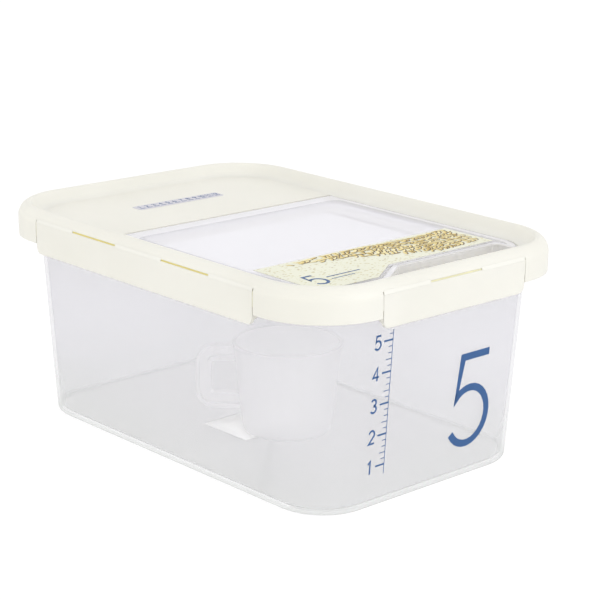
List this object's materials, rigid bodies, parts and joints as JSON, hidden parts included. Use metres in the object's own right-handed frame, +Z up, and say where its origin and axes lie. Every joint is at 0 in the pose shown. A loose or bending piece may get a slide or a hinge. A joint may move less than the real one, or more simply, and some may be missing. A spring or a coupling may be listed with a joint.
{
  "type": "rice bin with flip lid",
  "caption": "Low translucent rice bin with a lid held by a lock flap on each side, a clear flip lid over its pour opening, a measuring cup and a silica gel sachet.",
  "frame": {"origin": "centre of the flat base, at the bottom of the foot ring", "axes": "+Z up, +Y along the length away from the flip lid's front, +X across the width"},
  "size_m": [0.2166, 0.31, 0.1403],
  "materials": {
    "frosted_tub": "frosted translucent polypropylene",
    "ivory_lid": "ivory polypropylene, satin",
    "silicone": "pale silicone rubber",
    "clear_flip_lid": "clear plastic, polished",
    "printed_film": "cream printed film",
    "printed_strip": "pale printed strip",
    "clear_cup": "clear plastic, polished",
    "sachet_paper": "white breathable paper"
  },
  "bodies": {
    "bin": {"tub": "frosted_tub", "lid_frame": "ivory_lid", "lid_gasket": "silicone", "panel_strip": "printed_strip"},
    "flap_left": {"lock_flap_left": "ivory_lid"},
    "flap_right": {"lock_flap_right": "ivory_lid"},
    "flap_front": {"lock_flap_front": "ivory_lid"},
    "flap_rear": {"lock_flap_rear": "ivory_lid"},
    "flip": {"flip_lid": "clear_flip_lid", "flip_lid_gasket": "silicone", "flip_lid_label": "printed_film"},
    "cup": {"measuring_cup": "clear_cup"},
    "sachet": {"silica_gel_sachet": "sachet_paper"}
  },
  "joints": [
    {"name": "left_flap_hinge", "type": "hinge", "parent": "bin", "child": "flap_left", "pos_m": [-0.10765, 0, 0.1346], "axis": [0, 1, 0], "range_deg": [0, 110]},
    {"name": "right_flap_hinge", "type": "hinge", "parent": "bin", "child": "flap_right", "pos_m": [0.10765, 0, 0.1346], "axis": [0, -1, 0], "range_deg": [0, 110]},
    {"name": "front_flap_hinge", "type": "hinge", "parent": "bin", "child": "flap_front", "pos_m": [0, -0.15435, 0.1346], "axis": [-1, 0, 0], "range_deg": [0, 110]},
    {"name": "rear_flap_hinge", "type": "hinge", "parent": "bin", "child": "flap_rear", "pos_m": [0, 0.15435, 0.1346], "axis": [1, 0, 0], "range_deg": [0, 110]},
    {"name": "flip_lid_hinge", "type": "hinge", "parent": "bin", "child": "flip", "pos_m": [0, 0.0446, 0.1305], "axis": [-1, 0, 0], "range_deg": [0, 108]},
    {"name": "cup_lift", "type": "slide", "parent": "bin", "child": "cup", "axis": [0, 0, 1], "range_m": [0, 0.06]},
    {"name": "sachet_shift", "type": "slide", "parent": "bin", "child": "sachet", "axis": [0, 1, 0], "range_m": [0, 0.09]}
  ]
}
